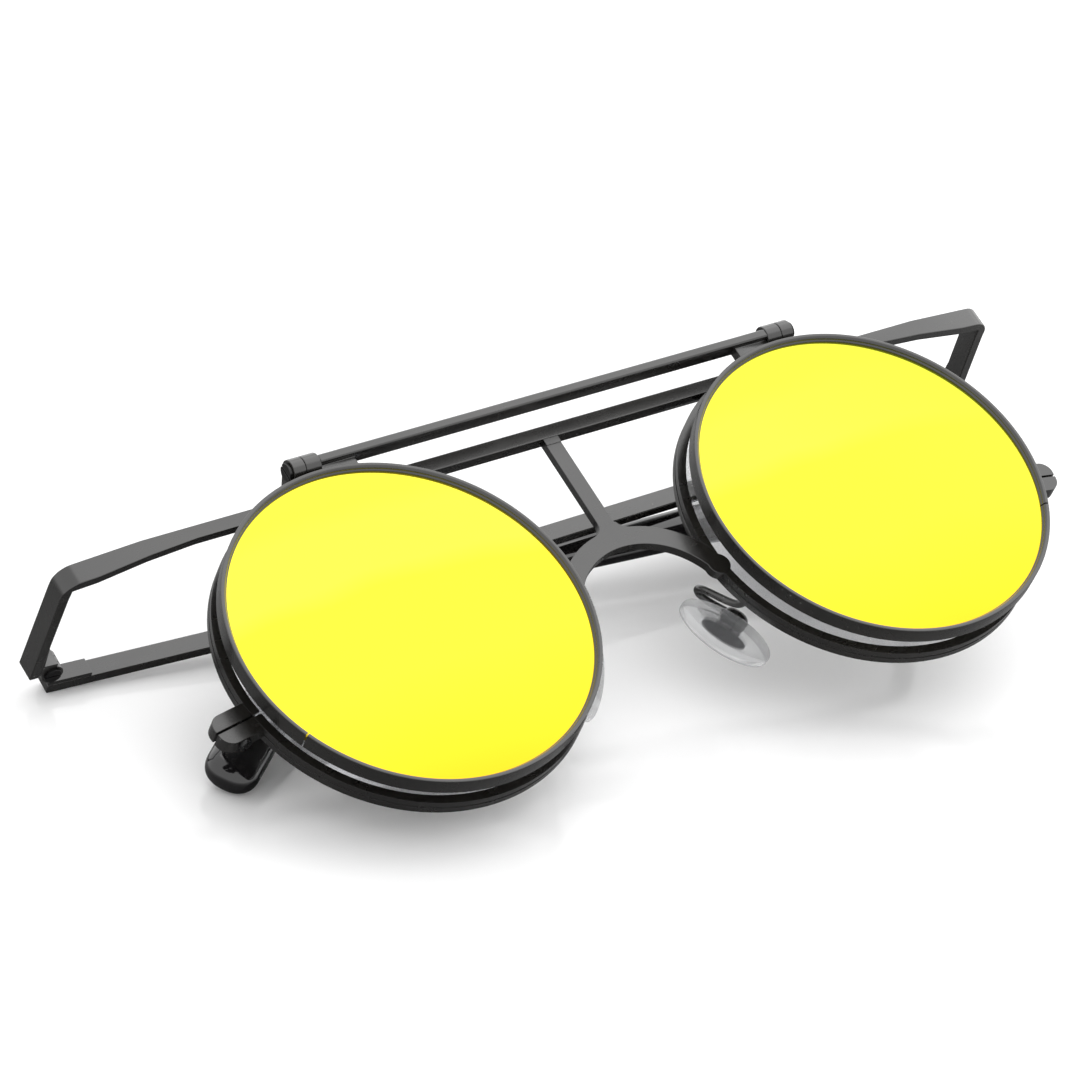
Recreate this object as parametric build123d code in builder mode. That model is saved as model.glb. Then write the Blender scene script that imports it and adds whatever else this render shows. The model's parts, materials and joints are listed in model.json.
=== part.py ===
from build123d import *
import os
from math import cos, radians, sin, sqrt

# Round metal sunglasses with a flip-up lens front, folded and lying lens side up.
# Every piece is drawn in the front's own frame, in millimetres: X across the front, Y towards the brow,
# Z out of the lenses. Its origin is midway between the two flip lenses, on their front faces.
# Left is the -X side and right is the +X side. The last section lays the assembly on the table.

# Driving sizes
LENS_SPACING = 70.0
FLIP_OPENING_RADIUS = 23.0
BASE_OPENING_RADIUS = 22.9
FRONT_HALF_WIDTH = 70.7
BAR_THICKNESS = 1.3
TEMPLE_REACH = 136.5

# Fits
LENS_FIT = 0.03
RUNNING_FIT = 0.05
SIDE_PLAY = 0.05

# Flip-up front
FLIP_RIM_WALL = 0.9
FLIP_RIM_FRONT = 0.9
FLIP_RIM_BACK = -1.43
FLIP_LENS_FRONT = 0.1
FLIP_LENS_THICKNESS = 0.9
LENS_ENTRY = 0.45
RIM_SPLIT_WIDTH = 0.2
RIM_SPLIT_ANGLE = 27.0
FLIP_BAR_BOTTOM = 24.84
FLIP_BAR_TOP = 26.1
FLIP_BAR_HALF_LENGTH = LENS_SPACING / 2 - 0.9
FLIP_FOOT_WIDTH = 5.0
FLIP_FOOT_DEPTH = 1.5

# Flip hinge: a bar knuckle, a bracket on the brow bar and a screw along X
FLIP_AXIS_Y = 25.6
FLIP_AXIS_Z = -0.5
FLIP_KNUCKLE_RADIUS = 1.5
FLIP_KNUCKLE_LENGTH = 2.2
FLIP_BRACKET_LENGTH = 1.75
FLIP_SCREW_RADIUS = 0.55
FLIP_HEAD_RADIUS = 1.15
FLIP_HEAD_HEIGHT = 0.4

# Brow bar with its two corner legs
BAR_FRONT = -3.94
BAR_BACK = BAR_FRONT - BAR_THICKNESS
BAR_TOP = 24.08
BAR_BOTTOM = 22.1
BAR_STRAIGHT_HALF = 59.0
CORNER_BOTTOM = 21.1
CORNER_Z = -5.0
CORNER_RADIUS = 2.6
LEG_END_Z = -22.3
LEG_SPLAY = 0.069
LEG_DROP = 0.062
LEG_DROP_START = -8.0
LEG_HEIGHT = BAR_TOP - CORNER_BOTTOM

# Base rims, their lenses and their closing blocks
BASE_CENTRE_X = LENS_SPACING / 2 - 0.4
BASE_CENTRE_Y = 0.37
BASE_RIM_WALL = 1.18
BASE_RIM_BACK = -5.93
BASE_LENS_FRONT = -4.24
BASE_LENS_BACK = BAR_BACK
RIM_LINE_DEPTH = 0.15
RIM_LINE_WIDTH = 0.3
LOCK_ANGLE = 9.5
LOCK_GAP = 0.3
LOCK_HALF_HEIGHT = 2.2
LOCK_CORNER_RADIUS = 1.7
LOCK_OUTER_RADIUS = 29.6
LOCK_SCREW_RADIUS = 0.45
LOCK_HEAD_RADIUS = 0.85
LOCK_HEAD_HEIGHT = 0.5

# Bridge
STEM_WIDTH = 2.27
STEM_SETBACK = 0.15
ARCH_OUTER_RADIUS = 12.9
ARCH_OUTER_Y = -6.2
ARCH_INNER_RADIUS = 10.5
ARCH_INNER_Y = -6.6
ARCH_END_Y = -2.4
LUG_RADIUS = 1.55
LUG_X = 11.05

# Temple hinges
HINGE_X = 68.5
HINGE_Y = 21.7
HINGE_Z = -22.6
HINGE_RADIUS = 1.45
HINGE_HALF_HEIGHT = 1.4
MIDDLE_HALF_HEIGHT = 0.45
HINGE_SCREW_RADIUS = 0.55
HINGE_HEAD_RADIUS = 1.1
HINGE_HEAD_HEIGHT = 0.35
LEAF_THICKNESS = 0.7
LEAF_LENGTH = 6.0

# Temples, drawn folded; each is a strip and a bent sleeve
STRIP_HEIGHT = 2.6
STRIP_THICKNESS = 1.4
STRIP_INNER_OFFSET = 2.4
STRIP_LEAD = 0.05
LEAF_REACH = 2.5
LEAF_FACE = 2.1
STRIP_LENGTH = 92.0
SLEEVE_START = 69.0
SLEEVE_LENGTH = TEMPLE_REACH - SLEEVE_START
SLEEVE_BEND_START = 26.0
SLEEVE_BEND_RADIUS = 20.0
SLEEVE_BEND_ANGLE = radians(35)
SLEEVE_HALF_HEIGHT = (2.3, 3.5)
SLEEVE_HALF_THICKNESS = (1.5, 2.2)
FOLD_DROOP = {-1: 0.064, 1: 0.052}
FOLD_SLOPE = {-1: 0.012, 1: 0.075}

# Nose pads
PAD_CENTRE = (10.55, -8.5, -10.5)
PAD_LONG_AXIS = (0.48, -0.877, 0.03)
PAD_FACING = (-0.86, -0.473, -0.12)
PAD_HALF_LENGTH = 6.5
PAD_HALF_WIDTH = 4.1
PAD_THICKNESS = 1.8
INSERT_HALF_LENGTH = 3.2
INSERT_HALF_WIDTH = 1.5
INSERT_THICKNESS = 0.5
LUG_THICKNESS = 0.8
LUG_HALF_LENGTH = 0.65
PAD_PIVOT_DEPTH = 2.1
BOX_NEAR = 1.2
BOX_FAR = 3.4
BOX_HALF_LENGTH = 1.5
BOX_HALF_WIDTH = 1.15
BOX_SLOT_HALF_LENGTH = 0.95
BOX_SLOT_END = 2.95
PAD_SCREW_RADIUS = 0.35
ARM_RADIUS = 0.5
ARM_FOOT = (12.4, -7.6, BASE_RIM_BACK)
ARM_BENDS = ((12.1, -7.2, -7.2), (9.2, -2.7, -8.0), (10.5, -2.5, -10.4))
ARM_BEND_RADII = (0.8, 0.9, 0.9)
ARM_END_DEPTH = 2.9

# Row frame: the table plane as the front's frame sees it
TABLE_LEAN = radians(21.84)
TABLE_NORMAL = (0.0686, sin(TABLE_LEAN), cos(TABLE_LEAN))

SLOT_WIDTH = 0.3
SLOT_DEPTH = 0.2
SIDES = {-1: "left", 1: "right"}

pieces = {}


def ring_plane(side, centre_x, centre_y, z, angle):
    """A plane facing +Z at a rim's centre, whose x runs out to the temple side, angle degrees below level."""
    radial = (side * cos(radians(angle)), -sin(radians(angle)), 0)
    return Plane(origin=(side * centre_x, centre_y, z), x_dir=radial, z_dir=(0, 0, 1))


def slot_in_head(plane, head_radius):
    """Cut a driver slot into a screw head whose outer face lies on the plane."""
    with BuildSketch(plane) as slot:
        Rectangle(2.2 * head_radius, SLOT_WIDTH)
    extrude(slot.sketch, amount=-SLOT_DEPTH, mode=Mode.SUBTRACT)


# Brow bar: the plan outline, cut to the front view and to the side view
def plan_outline(inset):
    """Half the brow bar's plan outline from the leg's end to the middle, set in by the bar's thickness."""
    leg_end_x = FRONT_HALF_WIDTH + LEG_SPLAY * (abs(LEG_END_Z) - abs(CORNER_Z)) - inset
    return (
        (leg_end_x, LEG_END_Z),
        (FRONT_HALF_WIDTH - inset, CORNER_Z - inset),
        (BAR_STRAIGHT_HALF, BAR_FRONT - inset),
    )


def full_outline(inset):
    """Both halves of the plan outline in order."""
    half = plan_outline(inset)
    return [(-x, z) for x, z in half] + [(x, z) for x, z in reversed(half)]


PLAN_MARGIN = 6.0
with BuildPart() as front_bar:
    with BuildSketch(Plane.XZ.offset(-BAR_TOP - PLAN_MARGIN)):
        with BuildLine():
            Polyline(*full_outline(0.0), close=True)
        make_face()
        corners = [v for v in vertices() if abs(v.Y - CORNER_Z) < 0.01 or abs(v.Z - CORNER_Z) < 0.01]
        fillet(corners, CORNER_RADIUS)
        with BuildLine():
            Polyline(*full_outline(BAR_THICKNESS), close=True)
        make_face(mode=Mode.SUBTRACT)
    extrude(amount=3 * PLAN_MARGIN)
    with BuildSketch(Plane.XY.offset(LEG_END_Z - 1)):
        with BuildLine():
            Polyline(
                (-80, BAR_TOP), (80, BAR_TOP), (80, CORNER_BOTTOM - 2), (68, CORNER_BOTTOM - 2),
                (66, CORNER_BOTTOM), (52, BAR_BOTTOM), (-52, BAR_BOTTOM), (-66, CORNER_BOTTOM),
                (-68, CORNER_BOTTOM - 2), (-80, CORNER_BOTTOM - 2), close=True,
            )
        make_face()
    extrude(amount=25, mode=Mode.INTERSECT)
    with BuildSketch(Plane.YZ.offset(-80)):
        drop_at_end = LEG_DROP * (LEG_DROP_START - LEG_END_Z)
        with BuildLine():
            Polyline(
                (BAR_TOP, 0), (BAR_TOP, LEG_DROP_START), (BAR_TOP - drop_at_end, LEG_END_Z),
                (BAR_TOP - drop_at_end - LEG_HEIGHT, LEG_END_Z), (CORNER_BOTTOM, LEG_DROP_START),
                (CORNER_BOTTOM, 0), close=True,
            )
        make_face()
    extrude(amount=160, mode=Mode.INTERSECT)
pieces["front_bar"] = front_bar

# A thin second layer behind the bar, between the two base rims
with BuildPart() as bar_backing:
    with BuildSketch(Plane.XY.offset(BASE_RIM_BACK)):
        with Locations((0, (BAR_TOP + BAR_BOTTOM) / 2)):
            Rectangle(2 * BASE_CENTRE_X - 14, BAR_TOP - BAR_BOTTOM - 0.3)
        with Locations((-BASE_CENTRE_X, BASE_CENTRE_Y), (BASE_CENTRE_X, BASE_CENTRE_Y)):
            Circle(BASE_OPENING_RADIUS + BASE_RIM_WALL, mode=Mode.SUBTRACT)
    extrude(amount=BAR_BACK - BASE_RIM_BACK)
pieces["bar_backing"] = bar_backing

# Bridge: a stem from the bar down to a wide arch whose lugs lie in the rims
with BuildPart() as bridge:
    with BuildSketch(Plane.XY.offset(BAR_BACK)) as bridge_outline:
        with Locations((0, ARCH_OUTER_Y)):
            Circle(ARCH_OUTER_RADIUS)
        with Locations((0, ARCH_INNER_Y)):
            Circle(ARCH_INNER_RADIUS, mode=Mode.SUBTRACT)
        with Locations((0, ARCH_END_Y)):
            Rectangle(40, 30, align=(Align.CENTER, Align.MAX), mode=Mode.SUBTRACT)
        with Locations((-LUG_X, ARCH_END_Y), (LUG_X, ARCH_END_Y)):
            Circle(LUG_RADIUS)
        stem_foot = ARCH_OUTER_Y + ARCH_OUTER_RADIUS - 1
        with Locations((0, stem_foot)):
            Rectangle(STEM_WIDTH, BAR_BOTTOM - stem_foot, align=(Align.CENTER, Align.MIN))
        inner_corners = [v for v in vertices() if abs(abs(v.X) - STEM_WIDTH / 2) < 0.01 and v.Y < 10]
        fillet(inner_corners, 2.0)
    extrude(amount=BAR_THICKNESS)
    with BuildSketch(Plane.XY.offset(BAR_FRONT)):
        with Locations((0, BAR_BOTTOM - 1)):
            Rectangle(STEM_WIDTH + 1, BAR_BOTTOM - stem_foot - 3, align=(Align.CENTER, Align.MAX))
    extrude(amount=-STEM_SETBACK, mode=Mode.SUBTRACT)
pieces["bridge"] = bridge

# Base rims with their lenses and closing blocks
base_outer_radius = BASE_OPENING_RADIUS + BASE_RIM_WALL
for side, hand in SIDES.items():
    level = ring_plane(side, BASE_CENTRE_X, BASE_CENTRE_Y, BASE_RIM_BACK, 0)
    at_lock = ring_plane(side, BASE_CENTRE_X, BASE_CENTRE_Y, BASE_RIM_BACK, LOCK_ANGLE)
    rim_depth = BAR_FRONT - BASE_RIM_BACK
    base_lens_radius = BASE_OPENING_RADIUS + LENS_ENTRY

    with BuildPart() as base_lens:
        with BuildSketch(level.offset(BASE_LENS_BACK - BASE_RIM_BACK)):
            Circle(base_lens_radius)
        extrude(amount=BASE_LENS_FRONT - BASE_LENS_BACK)
        add(front_bar.part, mode=Mode.SUBTRACT)
        add(bridge.part, mode=Mode.SUBTRACT)
    pieces[f"base_lens_{hand}"] = base_lens

    with BuildPart() as base_rim:
        with BuildSketch(level):
            Circle(base_outer_radius)
            Circle(BASE_OPENING_RADIUS, mode=Mode.SUBTRACT)
        extrude(amount=rim_depth)
        with BuildSketch(level.offset(BASE_LENS_BACK - BASE_RIM_BACK)):
            Circle(base_lens_radius + LENS_FIT)
        extrude(amount=BASE_LENS_FRONT - BASE_LENS_BACK, mode=Mode.SUBTRACT)
        with BuildSketch(level.offset((rim_depth - RIM_LINE_WIDTH) / 2)):
            Circle(base_outer_radius + 1)
            Circle(base_outer_radius - RIM_LINE_DEPTH, mode=Mode.SUBTRACT)
        extrude(amount=RIM_LINE_WIDTH, mode=Mode.SUBTRACT)
        with BuildSketch(Plane.XY.offset(BASE_RIM_BACK)):
            with Locations((side * BASE_CENTRE_X, BAR_TOP)):
                Rectangle(30, 5, align=(Align.CENTER, Align.MIN))
        extrude(amount=rim_depth, mode=Mode.SUBTRACT)
        with BuildSketch(at_lock):
            with Locations((base_outer_radius, 0)):
                Rectangle(4 * BASE_RIM_WALL, LOCK_GAP)
        extrude(amount=rim_depth, mode=Mode.SUBTRACT)
        add(front_bar.part, mode=Mode.SUBTRACT)
        add(bridge.part, mode=Mode.SUBTRACT)
    pieces[f"base_rim_{hand}"] = base_rim

    screw_r = (LOCK_OUTER_RADIUS + base_outer_radius) / 2
    screw_z = rim_depth / 2
    tangent = at_lock.y_dir * side
    screw_plane = Plane(
        origin=at_lock.from_local_coords((screw_r, 0, screw_z)), x_dir=(0, 0, 1), z_dir=tangent
    )
    for half, sign in (("upper", 1), ("lower", -1)):
        bore = LOCK_SCREW_RADIUS + (RUNNING_FIT if half == "lower" else 0)
        with BuildPart() as rim_lock:
            with BuildSketch(at_lock):
                with Locations((base_outer_radius - 0.5, sign * side * LOCK_GAP / 2)):
                    Rectangle(
                        LOCK_OUTER_RADIUS - base_outer_radius + 0.5, LOCK_HALF_HEIGHT - LOCK_GAP / 2,
                        align=(Align.MIN, Align.MIN if sign * side > 0 else Align.MAX),
                    )
            extrude(amount=rim_depth)
            with BuildSketch(level):
                Circle(base_outer_radius)
            extrude(amount=rim_depth, mode=Mode.SUBTRACT)
            outer_corner = rim_lock.edges().filter_by(Axis.Z).sort_by(
                lambda edge: (edge.center() - at_lock.origin).length
            )[-1]
            fillet(outer_corner, LOCK_CORNER_RADIUS)
            with BuildSketch(screw_plane.offset(-2 * LOCK_HALF_HEIGHT)):
                Circle(bore)
            extrude(amount=4 * LOCK_HALF_HEIGHT, mode=Mode.SUBTRACT)
        pieces[f"rim_lock_{half}_{hand}"] = rim_lock

    with BuildPart() as lock_screw:
        with BuildSketch(screw_plane.offset(-LOCK_HALF_HEIGHT)):
            Circle(LOCK_SCREW_RADIUS)
        extrude(amount=2 * LOCK_HALF_HEIGHT)
        with BuildSketch(screw_plane.offset(-LOCK_HALF_HEIGHT)):
            Circle(LOCK_HEAD_RADIUS)
        extrude(amount=-LOCK_HEAD_HEIGHT)
        slot_in_head(
            Plane(screw_plane.offset(-LOCK_HALF_HEIGHT - LOCK_HEAD_HEIGHT).origin, x_dir=(0, 0, 1),
                  z_dir=-screw_plane.z_dir),
            LOCK_HEAD_RADIUS,
        )
    pieces[f"lock_screw_{hand}"] = lock_screw


# Nose pads: a wire arm, a box, a screw, and a soft pad on a metal insert
for side, hand in SIDES.items():
    long_axis = Vector(side * PAD_LONG_AXIS[0], PAD_LONG_AXIS[1], PAD_LONG_AXIS[2]).normalized()
    facing = Vector(side * PAD_FACING[0], PAD_FACING[1], PAD_FACING[2])
    facing = (facing - long_axis * facing.dot(long_axis)).normalized()
    centre = Vector(side * PAD_CENTRE[0], PAD_CENTRE[1], PAD_CENTRE[2])
    pad_plane = Plane(origin=centre, x_dir=long_axis, z_dir=facing)
    across = Plane(origin=pad_plane.offset(-PAD_PIVOT_DEPTH).origin, x_dir=long_axis, z_dir=pad_plane.y_dir)

    with BuildPart() as pad_insert:
        with BuildSketch(pad_plane.offset(-INSERT_THICKNESS / 2)):
            Ellipse(INSERT_HALF_LENGTH, INSERT_HALF_WIDTH)
        extrude(amount=INSERT_THICKNESS)
        with BuildSketch(across.offset(-LUG_THICKNESS / 2)) as lug_outline:
            Circle(LUG_HALF_LENGTH)
            with Locations(across.to_local_coords(centre)):
                Rectangle(2 * LUG_HALF_LENGTH, 2 * PAD_PIVOT_DEPTH)
            with Locations(across.to_local_coords(pad_plane.offset(PAD_PIVOT_DEPTH / 2).origin)):
                Rectangle(4 * LUG_HALF_LENGTH, PAD_PIVOT_DEPTH, mode=Mode.SUBTRACT)
        extrude(amount=LUG_THICKNESS)
        with BuildSketch(across.offset(-LUG_THICKNESS)):
            Circle(PAD_SCREW_RADIUS + RUNNING_FIT)
        extrude(amount=2 * LUG_THICKNESS, mode=Mode.SUBTRACT)
    pieces[f"pad_insert_{hand}"] = pad_insert

    with BuildPart() as nose_pad:
        with BuildSketch(pad_plane.offset(-PAD_THICKNESS / 2)):
            Ellipse(PAD_HALF_LENGTH, PAD_HALF_WIDTH)
        extrude(amount=PAD_THICKNESS)
        fillet(nose_pad.edges(), 0.7)
        add(pad_insert.part, mode=Mode.SUBTRACT)
    pieces[f"nose_pad_{hand}"] = nose_pad

    with BuildPart(mode=Mode.PRIVATE) as box_block:
        with BuildSketch(pad_plane.offset(-BOX_FAR)):
            Rectangle(2 * BOX_HALF_LENGTH, 2 * BOX_HALF_WIDTH)
        extrude(amount=BOX_FAR - BOX_NEAR)

    with BuildPart() as pad_box:
        add(box_block.part)
        with BuildSketch(pad_plane.offset(-BOX_SLOT_END)):
            Rectangle(2 * BOX_SLOT_HALF_LENGTH, LUG_THICKNESS + 4 * SIDE_PLAY)
        extrude(amount=BOX_SLOT_END - BOX_NEAR, mode=Mode.SUBTRACT)
        with BuildSketch(across.offset(-2 * BOX_HALF_WIDTH)):
            Circle(PAD_SCREW_RADIUS)
        extrude(amount=4 * BOX_HALF_WIDTH, mode=Mode.SUBTRACT)
    pieces[f"pad_box_{hand}"] = pad_box

    with BuildPart() as pad_screw:
        with BuildSketch(across.offset(-BOX_HALF_WIDTH)):
            Circle(PAD_SCREW_RADIUS)
        extrude(amount=2 * BOX_HALF_WIDTH)
    pieces[f"pad_screw_{hand}"] = pad_screw

    arm_end = pad_plane.offset(-ARM_END_DEPTH).origin - long_axis * (BOX_HALF_LENGTH - 0.2)
    arm_points = [ARM_FOOT, *ARM_BENDS]
    route = [(side * x, y, z) for x, y, z in arm_points] + [tuple(arm_end)]
    with BuildPart() as pad_arm:
        with BuildLine():
            FilletPolyline(*route, radius=ARM_BEND_RADII)
        foot_direction = Vector(*route[1]) - Vector(*route[0])
        with BuildSketch(Plane(origin=route[0], z_dir=foot_direction)):
            Circle(ARM_RADIUS)
        sweep()
        add(box_block.part, mode=Mode.SUBTRACT)
        add(pieces[f"base_rim_{hand}"].part, mode=Mode.SUBTRACT)
    pieces[f"pad_arm_{hand}"] = pad_arm


# Temple hinges and temples, folded behind the front
def fold_frame(side):
    """The hinge origin, the folded temple's direction, the hinge axis and the direction to the front."""
    origin = Vector(side * HINGE_X, HINGE_Y, HINGE_Z)
    folded = Vector(-side, -FOLD_DROOP[side], FOLD_SLOPE[side]).normalized()
    opened = Vector(side * LEG_SPLAY, -LEG_DROP, -1).normalized()
    axis = (folded.cross(opened) * -side).normalized()
    return origin, folded, axis, folded.cross(axis) * -side


def sleeve_centre(distance):
    """A sleeve's centre line: straight, an arc down, then straight; returns x, height and heading."""
    if distance <= SLEEVE_BEND_START:
        return distance, 0.0, 0.0
    turn = min((distance - SLEEVE_BEND_START) / SLEEVE_BEND_RADIUS, SLEEVE_BEND_ANGLE)
    beyond = max(distance - SLEEVE_BEND_START - SLEEVE_BEND_RADIUS * SLEEVE_BEND_ANGLE, 0.0)
    x = SLEEVE_BEND_START + SLEEVE_BEND_RADIUS * sin(turn) + beyond * cos(turn)
    height = -SLEEVE_BEND_RADIUS * (1 - cos(turn)) - beyond * sin(turn)
    return x, height, turn


def sleeve_size(distance, start, end):
    """A sleeve's half size: it grows evenly along the length and closes with an elliptical round end."""
    share = min(distance / (0.8 * SLEEVE_LENGTH), 1.0)
    grown = start + (end - start) * share
    nose = min(distance / 1.5, 1.0)
    tail = max(distance - (SLEEVE_LENGTH - end), 0.0) / end
    return grown * (0.75 + 0.25 * nose) * sqrt(max(1 - tail * tail, 0.0))


for side, hand in SIDES.items():
    origin, folded, axis, forward = fold_frame(side)
    # x runs along the folded temple and y to the front; the sketch is drawn in middle height
    plan = Plane(origin=origin, x_dir=folded, z_dir=axis * side)
    down = -side

    with BuildPart() as hinge_leaf:
        with BuildSketch(plan):
            Circle(HINGE_RADIUS)
            with Locations((-LEAF_REACH, 0.35)):
                Rectangle(LEAF_REACH + 0.4, 1.6, align=(Align.MIN, Align.MIN))
            with Locations((-LEAF_REACH, 0.35)):
                Rectangle(LEAF_REACH - LEAF_FACE + LEAF_THICKNESS, LEAF_LENGTH, align=(Align.MIN, Align.MIN))
        extrude(amount=HINGE_HALF_HEIGHT, both=True)
        with BuildSketch(plan):
            Circle(HINGE_RADIUS + 2 * SIDE_PLAY)
            with Locations((0, -0.05)):
                Rectangle(8, 1.0, align=(Align.CENTER, Align.MAX))
        extrude(amount=MIDDLE_HALF_HEIGHT + SIDE_PLAY, both=True, mode=Mode.SUBTRACT)
        with BuildSketch(plan):
            Circle(HINGE_SCREW_RADIUS)
        extrude(amount=2 * HINGE_HALF_HEIGHT, both=True, mode=Mode.SUBTRACT)
        add(front_bar.part, mode=Mode.SUBTRACT)
    pieces[f"hinge_leaf_{hand}"] = hinge_leaf

    with BuildPart() as hinge_screw:
        with BuildSketch(plan):
            Circle(HINGE_SCREW_RADIUS)
        extrude(amount=HINGE_HALF_HEIGHT, both=True)
        foot = Plane(origin=origin - axis * HINGE_HALF_HEIGHT, x_dir=folded, z_dir=-axis)
        with BuildSketch(foot):
            Circle(HINGE_HEAD_RADIUS)
        extrude(amount=HINGE_HEAD_HEIGHT)
        slot_in_head(foot.offset(HINGE_HEAD_HEIGHT), HINGE_HEAD_RADIUS)
    pieces[f"hinge_screw_{hand}"] = hinge_screw

    with BuildPart() as temple_leaf:
        with BuildSketch(plan):
            Circle(HINGE_RADIUS)
            with Locations((-STRIP_LEAD, 0)):
                Rectangle(STRIP_LEAD + 1.3, STRIP_INNER_OFFSET, align=(Align.MIN, Align.MAX))
        extrude(amount=MIDDLE_HALF_HEIGHT, both=True)
        with BuildSketch(plan):
            with Locations((-STRIP_LEAD, -STRIP_INNER_OFFSET)):
                Rectangle(LEAF_LENGTH, 0.55, align=(Align.MIN, Align.MIN))
        extrude(amount=STRIP_HEIGHT / 2 - 0.1, both=True)
        with BuildSketch(plan):
            Circle(HINGE_SCREW_RADIUS + RUNNING_FIT)
        extrude(amount=2 * HINGE_HALF_HEIGHT, both=True, mode=Mode.SUBTRACT)
    pieces[f"temple_leaf_{hand}"] = temple_leaf

    with BuildPart() as temple_strip:
        with BuildSketch(plan):
            with Locations((-STRIP_LEAD, -STRIP_INNER_OFFSET)):
                Rectangle(STRIP_LENGTH + STRIP_LEAD, STRIP_THICKNESS, align=(Align.MIN, Align.MAX))
        extrude(amount=STRIP_HEIGHT / 2, both=True)
    pieces[f"temple_strip_{hand}"] = temple_strip

    middle = STRIP_INNER_OFFSET + STRIP_THICKNESS / 2
    straight_steps = [0.0, 0.7, 1.5, 12.0, SLEEVE_BEND_START]
    bend_end = SLEEVE_BEND_START + SLEEVE_BEND_RADIUS * SLEEVE_BEND_ANGLE
    bend_steps = [SLEEVE_BEND_START + (bend_end - SLEEVE_BEND_START) * k / 3 for k in (1, 2, 3)]
    tail_start = SLEEVE_LENGTH - SLEEVE_HALF_HEIGHT[1]
    tail_steps = [tail_start + SLEEVE_HALF_HEIGHT[1] * sin(radians(a)) for a in (0, 25, 45, 62, 76)]
    with BuildPart() as temple_tip:
        for distance in straight_steps + bend_steps + [(bend_end + tail_start) / 2] + tail_steps:
            x, height, turn = sleeve_centre(distance)
            section_centre = origin + folded * (SLEEVE_START + x) + axis * height - forward * middle
            heading = folded * cos(turn) - axis * sin(turn)
            with BuildSketch(Plane(origin=section_centre, x_dir=forward, z_dir=heading)):
                Ellipse(sleeve_size(distance, *SLEEVE_HALF_THICKNESS), sleeve_size(distance, *SLEEVE_HALF_HEIGHT))
        loft()
        add(temple_strip.part, mode=Mode.SUBTRACT)
    pieces[f"temple_tip_{hand}"] = temple_tip


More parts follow.
